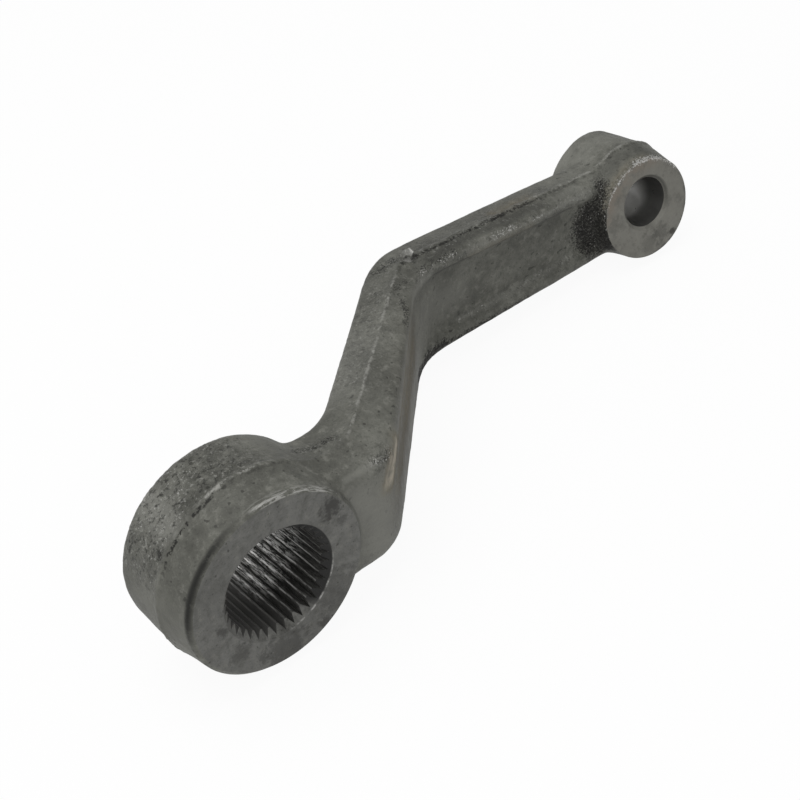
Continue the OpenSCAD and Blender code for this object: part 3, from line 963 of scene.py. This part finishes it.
def shaft_rim_shadow_and_scuffs(tree, place, patchy, colour):
    """The shaft eye's rim, with painted shadow on its left: the colour, and strands scuffed bare on its
    top.
    """
    part = parts_of(tree, place)
    # Painted shadow along the left of the shaft eye's rim
    left_rim_shadow = rim_arc(tree, place, SHAFT_CENTRE, SHAFT_RIM_R + 0.9 * MM, 1.3 * MM,
                       (-0.85, 0, 0.53), 0.72, 0.97)
    left_rim_shadow = times(tree, left_rim_shadow, remap(tree, patchy, 0.3, 0.5, 0.6, 1))
    left_rim_shadow = times(tree, left_rim_shadow, remap(tree, part["Y"], 2.4 * MM, 1.2 * MM))
    colour = blend(tree, left_rim_shadow, colour, (0.012, 0.012, 0.0105))
    top_rim = rim_arc(tree, place, SHAFT_CENTRE, SHAFT_RIM_R + 0.5 * MM, 1.0 * MM,
                      (0.36, 0, 0.93), 0.86, 0.93)
    round_rim = times(tree, maths(tree, "ARCTAN2", part["Z"], part["X"]), 3 * MM)
    strand_place = new_node(tree, "CombineXYZ", {0: round_rim, 1: part["Y"]}).outputs[0]
    strands = remap(tree, noise(tree, strand_place, 0.5, 4, 0.7), 0.46, 0.56)
    return colour, times(tree, top_rim, strands)


def bare_steel(tree, place, patchy, scuffed, colour):
    """Bare steel at edges, worn marks and scuffs, and glints painted as bright specks: the colour, and
    how bright the steel is.
    """
    edges = times(tree, attribute(tree, "edge"), remap(tree, patchy, 0.4, 0.6, 0, 0.3))
    bare = remap(tree, maths(tree, "SUBTRACT", attribute(tree, "worn"), patchy), -0.05, 0.25)
    bare = largest(tree, bare, scuffed)
    colour = blend(tree, largest(tree, edges, bare), colour, (0.34, 0.338, 0.32))
    # Glints: painted highlights, bright specks in the colour
    specks = noise(tree, place, 0.55, 2, 0.6)
    lit = maths(tree, "ADD", specks, times(tree, attribute(tree, "glint"), 0.25))
    glint = remap(tree, lit, 0.8, 0.87)
    return blend(tree, glint, colour, (0.34, 0.337, 0.322)), largest(tree, glint, bare)


def forged_scale(group):
    """As-forged skin: grey scale, stain and soot, painted shadow in front of the flash and on the shaft
    eye's left rim, a painted highlight on the flash's crest, bare edges and painted glints.
    """
    material, tree, shader = new_material("forged_scale")
    contrast = remap(tree, attribute(tree, "even"), 0, 1, 0.6, 0.15)
    skin = grain(tree, group, (0.07, 0.0702, 0.0605), (0.117, 0.1175, 0.102),
                 contrast=contrast, grain=0.75, base_roughness=0.56)
    place = object_place(tree)
    patchy = noise(tree, place, 2.0, 5, 0.7)
    colour = scale_tones(tree, place, skin["Color"])
    colour, dull = stain_and_soot(tree, place, patchy, colour)
    colour = flash_line(tree, place, patchy, colour)
    colour, scuffed = shaft_rim_shadow_and_scuffs(tree, place, patchy, colour)
    colour, bright = bare_steel(tree, place, patchy, scuffed, colour)
    rough_scale = attribute(tree, "rough")
    matt = maths(tree, "SUBTRACT", times(tree, dull, 0.28), times(tree, rough_scale, 0.15))
    lumps = new_node(tree, "Bump", {"Strength": rough_scale, "Distance": 0.9 * MM,
                                    "Height": noise(tree, place, 1.3, 4, 0.65), "Normal": skin["Normal"]})
    feed(tree, shader, {
        "Base Color": colour,
        "Metallic": remap(tree, bright, 0, 1, 0.04, 0.6),
        "Roughness": maths(tree, "ADD", skin["Roughness"], matt),
        "Specular IOR Level": 0.18,
        "Normal": lumps.outputs[0],
    })
    return material


# Smudges on the eyes' faces: middle and size in millimetres, and depth
FACE_SMUDGES = (
    ((18.3, 0, 12.8), 6.5, 0.9),
    ((20.5, 0, 7), 3.0, 0.5),
    ((-17.6, 0, -3.2), 3.4, 0.7),
    ((10.3, 0, -21.4), 3.4, 0.7),
    ((-9, 0, -19), 3.2, 0.55),
    ((-14.4, 0, -13.4), 6, 0.5),
    ((15, 0, -15), 17, 0.42),
    ((-2, 0, -21), 12, 0.6),
    ((186, 53.4, -20.5), 7, 0.3),
    ((191, 53.2, -19), 6, 0.4),
    ((195.5, 53, -20.6), 2.4, 0.85),
    ((177, 56, 3), 2.5, 0.5),
)


def smudge(tree, place, centre, size):
    """1 at a place on the surface, falling to 0 past a size in millimetres with a ragged border."""
    gap = vector_maths(tree, "DISTANCE", place, Vector(centre) * MM)
    uneven = times(tree, noise(tree, place, 2.2, 5, 0.75), 2)
    return remap(tree, maths(tree, "ADD", maths(tree, "DIVIDE", gap, size * MM), uneven), 1.7, 1.2)


def lead_in_shade(tree, place, part):
    """The shade on the right of the serrated bore's front lead-in."""
    r = vector_maths(tree, "LENGTH", place)
    in_mouth = remap(tree, r, SERRATION_LEAD_R - 0.02 * MM, SERRATION_LEAD_R - 0.3 * MM)
    above = remap(tree, part["Z"], -14.5 * MM, -12 * MM)
    return times(tree, in_mouth, above, remap(tree, part["X"], 3 * MM, 8 * MM))


def bare_rims(tree, place):
    """Bare steel on the serrated bore's lower right rim, and in chips, most on the stud eye's top rim."""
    mouth_rim = rim_arc(tree, place, SHAFT_CENTRE, SERRATION_LEAD_R, 0.32 * MM, (0.66, 0, -0.75), 0.6, 1)
    worn = remap(tree, noise(tree, place, 2.5, 5, 0.7), 0.44, 0.6, 0.05, 0.75)
    stud_top = rim_arc(tree, place, STUD_CENTRE, STUD_RIM_R, 2.0 * MM, (0, 0, 1), -0.1, 0.7)
    chips = maths(tree, "ADD", noise(tree, place, 0.5, 3, 0.7), times(tree, stud_top, 0.25))
    return largest(tree, times(tree, mouth_rim, worn), remap(tree, chips, 0.7, 0.8))


def faced_steel(group):
    """The faced ends of the eyes: mottled grey, warmer on the stud eye, with smudges and chipped rims,
    and painted shade in the serrated bore's lead-in and the taper bore's chamfer.
    """
    material, tree, shader = new_material("faced_steel")
    skin = grain(tree, group, (0.09, 0.0898, 0.083), (0.123, 0.1228, 0.114),
                 contrast=0.6, grain=0.35, base_roughness=0.5)
    place = object_place(tree)
    part = parts_of(tree, place)
    warm = remap(tree, part["X"], 100 * MM, 150 * MM, 0, 0.55)
    colour = blend(tree, warm, skin["Color"], (0.18, 0.175, 0.15))
    cloud = remap(tree, noise(tree, place, 6, 6, 0.72), 0.53, 0.36, 0, 0.38)
    colour = blend(tree, cloud, colour, (0.04, 0.039, 0.034))
    for centre, size, depth in FACE_SMUDGES:
        dark = times(tree, smudge(tree, place, centre, size), depth)
        colour = blend(tree, dark, colour, (0.022, 0.021, 0.018))
    colour = blend(tree, lead_in_shade(tree, place, part), colour, (0.01, 0.0099, 0.009))

    stained = rim_arc(tree, place, STUD_CENTRE, STUD_RIM_R, 7 * MM, (-0.5, 0, 0.87))
    stained = times(tree, stained, remap(tree, noise(tree, place, 3, 5, 0.7), 0.4, 0.6, 0.1, 0.55))
    colour = blend(tree, stained, colour, (0.15, 0.118, 0.09))
    colour = blend(tree, bare_rims(tree, place), colour, (0.42, 0.416, 0.4))
    notches = rim_arc(tree, place, STUD_CENTRE, STUD_RIM_R, 1.6 * MM, (0.8, 0, -0.6))
    notches = times(tree, notches, remap(tree, noise(tree, place, 2.2, 3, 0.6), 0.46, 0.54))
    colour = blend(tree, notches, colour, (0.02, 0.02, 0.018))
    # Painted shade in the taper bore's chamfer, at its top
    chamfer = rim_arc(tree, place, STUD_MOUTH, TAPER_MOUTH_R + 0.5 * MM, 0.7 * MM,
                      (0.4, 0, 0.92), -0.3, 0.7)
    colour = blend(tree, times(tree, chamfer, 0.65), colour, DARK_SCALE)
    feed(tree, shader, {
        "Base Color": colour,
        "Metallic": 0.1,
        "Roughness": skin["Roughness"],
        "Specular IOR Level": 0.3,
        "Normal": skin["Normal"],
    })
    return material


def serration_crests(tree, part, radius, streak):
    """Thin bare crests of the serrations, brighter with depth as painted light."""
    turn = maths(tree, "ADD", maths(tree, "ARCTAN2", part["Z"], part["X"]), LAY_PITCH)
    whole = maths(tree, "ADD", times(tree, turn, SERRATIONS / math.tau), 1)
    crest = close_to(tree, maths(tree, "FRACT", whole), 0.5, 0.1, 0.03)
    crest = times(tree, crest, remap(tree, radius, CREST_R + 0.3 * MM, CREST_R + 0.1 * MM))
    crest = times(tree, crest, remap(tree, streak, 0.4, 0.55, 0.1, 0.9))
    return times(tree, crest, remap(tree, part["Y"], 3 * MM, 13 * MM, 0.25, 1))


def broached_steel():
    """The serrations: dark steel, torn and with painted light deep on the lower right wall, with bare
    crests painted brighter there.
    """
    material, tree, shader = new_material("broached_steel")
    place = object_place(tree)
    part = parts_of(tree, place)
    streak = noise(tree, vector_maths(tree, "MULTIPLY", place, (1, 0.14, 1)), 0.42, 4, 0.72)
    radius = vector_maths(tree, "LENGTH", vector_maths(tree, "MULTIPLY", place, (1, 0, 1)))
    # The lower right wall is painted as lit
    right_wall = remap(tree, part["X"], -4 * MM, 5 * MM)
    low_wall = remap(tree, part["Z"], 4 * MM, -3 * MM)
    lit_wall = times(tree, right_wall, times(tree, low_wall, 0.9))
    colour = blend(tree, remap(tree, streak, 0.4, 0.7), (0.036, 0.0357, 0.033), (0.11, 0.109, 0.102))
    bore_floor = times(tree, remap(tree, part["X"], 5 * MM, -3 * MM), low_wall)
    colour = blend(tree, bore_floor, colour, (0.085, 0.084, 0.079))
    # Painted light in streaks deep on the lower right wall, where the steel is also torn
    deep = times(tree, remap(tree, part["Y"], 9 * MM, 17 * MM), remap(tree, streak, 0.46, 0.55))
    flank = remap(tree, radius, SERRATION_ROOT_R - 0.2 * MM, SERRATION_ROOT_R - 0.8 * MM)
    colour = blend(tree, times(tree, deep, flank, lit_wall), colour, (0.68, 0.676, 0.655))
    crest = serration_crests(tree, part, radius, streak)
    colour = blend(tree, times(tree, crest, lit_wall), colour, (0.58, 0.577, 0.56))
    bump = new_node(tree, "Bump", {"Strength": 0.5, "Distance": 0.12 * MM, "Height": streak})
    feed(tree, shader, {
        "Base Color": colour,
        "Metallic": 0.3,
        "Roughness": remap(tree, streak, 0.3, 0.7, 0.62, 0.45),
        "Specular IOR Level": 0.3,
        "Normal": bump.outputs[0],
    })
    return material


def reamed_steel(group):
    """The taper bore: smooth steel, painted light deep inside, with painted shade towards its mouth and
    on its low side.
    """
    material, tree, shader = new_material("reamed_steel")
    # Pale steel: painted light deep in the bore
    skin = grain(tree, group, (0.56, 0.558, 0.545), (0.64, 0.638, 0.622),
                 contrast=0, grain=0.05, base_roughness=0.34)
    offset = vector_maths(tree, "SUBTRACT", object_place(tree), STUD_MOUTH)
    depth = vector_maths(tree, "DOT_PRODUCT", offset, STUD_AXIS)
    at_mouth = remap(tree, depth, 15 * MM, 7 * MM)
    low_side = remap(tree, parts_of(tree, offset)["Z"], -4 * MM, -7 * MM, 0, 0.6)
    shade = times(tree, largest(tree, at_mouth, low_side), 0.9)
    colour = blend(tree, shade, skin["Color"], (0.06, 0.0595, 0.055))
    feed(tree, shader, {"Base Color": colour, "Metallic": 0.7, "Roughness": skin["Roughness"]})
    return material


def hold_values(piece):
    """Keeps on each vertex how much it is an edge or a hollow, and how much of each mark it has."""
    mesh = piece.data
    points = places(piece)
    normals = np.empty(len(mesh.vertices) * 3)
    mesh.vertices.foreach_get("normal", normals)
    normals = normals.reshape(-1, 3)
    pairs = np.empty(len(mesh.edges) * 2, dtype=int)
    mesh.edges.foreach_get("vertices", pairs)
    a, b = pairs.reshape(-1, 2).T
    count = np.maximum(np.bincount(np.r_[a, b], minlength=len(points)), 1)

    def around(values):
        """The mean of each vertex's neighbours."""
        return np.bincount(np.r_[a, b], np.r_[values[b], values[a]], len(points)) / count

    middle = np.stack([around(points[:, axis]) for axis in range(3)], axis=1)
    bulge = np.einsum("ij,ij->i", points - middle, normals) / CELL
    near_rounds, wide_rounds = 2, 14
    near = bulge
    for _ in range(near_rounds):
        near = (near + around(near)) / 2
    wide = near
    for _ in range(wide_rounds):
        wide = (wide + around(wide)) / 2
    values = {
        "edge": fade(near, 0.04, 0.16) * (1 - rim_mask(points)),
        "hollow": fade(-wide, 0.015, 0.07),
        "rough": scale_mask(points),
        "black": mark_mask(points, BLACK_MARKS),
        "grit": mark_mask(points, GRIT_MARKS),
        "brown": mark_mask(points, BROWN_MARKS),
        "even": mark_mask(points, EVEN_MARKS),
        "worn": mark_mask(points, WORN_MARKS),
        "glint": mark_mask(points, GLINT_MARKS),
        "tone_and_painted_light": mark_mask(points, PALE_AND_HIGHLIGHT_MARKS) - mark_mask(points, DIM_AND_SHADE_MARKS),
        "flash_shadow": flash_shadow_share(points),
        "crest": crest_highlight_share(points),
        "behind_parting": behind_parting(points),
    }
    for name, value in values.items():
        mesh.attributes.new(name, "FLOAT", "POINT").data.foreach_set("value", value.astype(np.float32))


def paint(piece):
    """Gives each face its steel: forged skin, faced ends, serrations or the taper bore."""
    group = steel_grain_group()
    for material in (forged_scale(group), faced_steel(group), broached_steel(), reamed_steel(group)):
        piece.data.materials.append(material)
    mesh = piece.data
    flat = np.empty(len(mesh.polygons) * 3)
    mesh.polygons.foreach_get("center", flat)
    centres = flat.reshape(-1, 3).copy()
    mesh.polygons.foreach_get("normal", flat)
    normals = flat.reshape(-1, 3)
    kind = np.full(len(centres), FORGED, dtype=np.int32)

    depth, r = along(centres, SHAFT_CENTRE, SHAFT_AXIS)
    lean = normals @ np.array(SHAFT_AXIS)
    on_wall = np.abs(lean) < WALL_LEAN
    on_cone = (np.abs(lean) > WALL_LEAN) & (np.abs(lean) < CONE_LEAN)
    in_bore = (r < SERRATION_LEAD_R + SLACK) & (depth > SLACK) & (depth < SHAFT_EYE_LEN - SLACK)
    kind[(depth < SLACK) & (r < SHAFT_EYE_R) & (lean < -SHAFT_END_LEAN)] = FACED
    kind[in_bore & on_wall] = BROACHED
    kind[in_bore & on_cone] = FACED

    depth, r = along(centres, STUD_MOUTH, STUD_AXIS)
    lean = np.abs(normals @ np.array(STUD_AXIS))
    at_end = (depth < SLACK) | (depth > STUD_LEN - SLACK)
    in_taper = (r < TAPER_MOUTH_R + TAPER_CHAMFER) & (depth > SLACK) & (depth < STUD_LEN - SLACK)
    kind[(r < STUD_FACING_R) & (lean > STUD_END_LEAN) & at_end] = FACED
    kind[in_taper] = REAMED
    kind[in_taper & (lean > WALL_LEAN)] = FACED
    mesh.polygons.foreach_set("material_index", kind)


arm = forging_blank()
add_relief(arm)
machine(arm)
alone(arm)
bpy.ops.object.shade_smooth_by_angle(angle=SMOOTH_ANGLE)
hold_values(arm)
paint(arm)
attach(arm, "root")
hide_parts("pitman_arm")

set_camera()
set_floor()
set_lights()
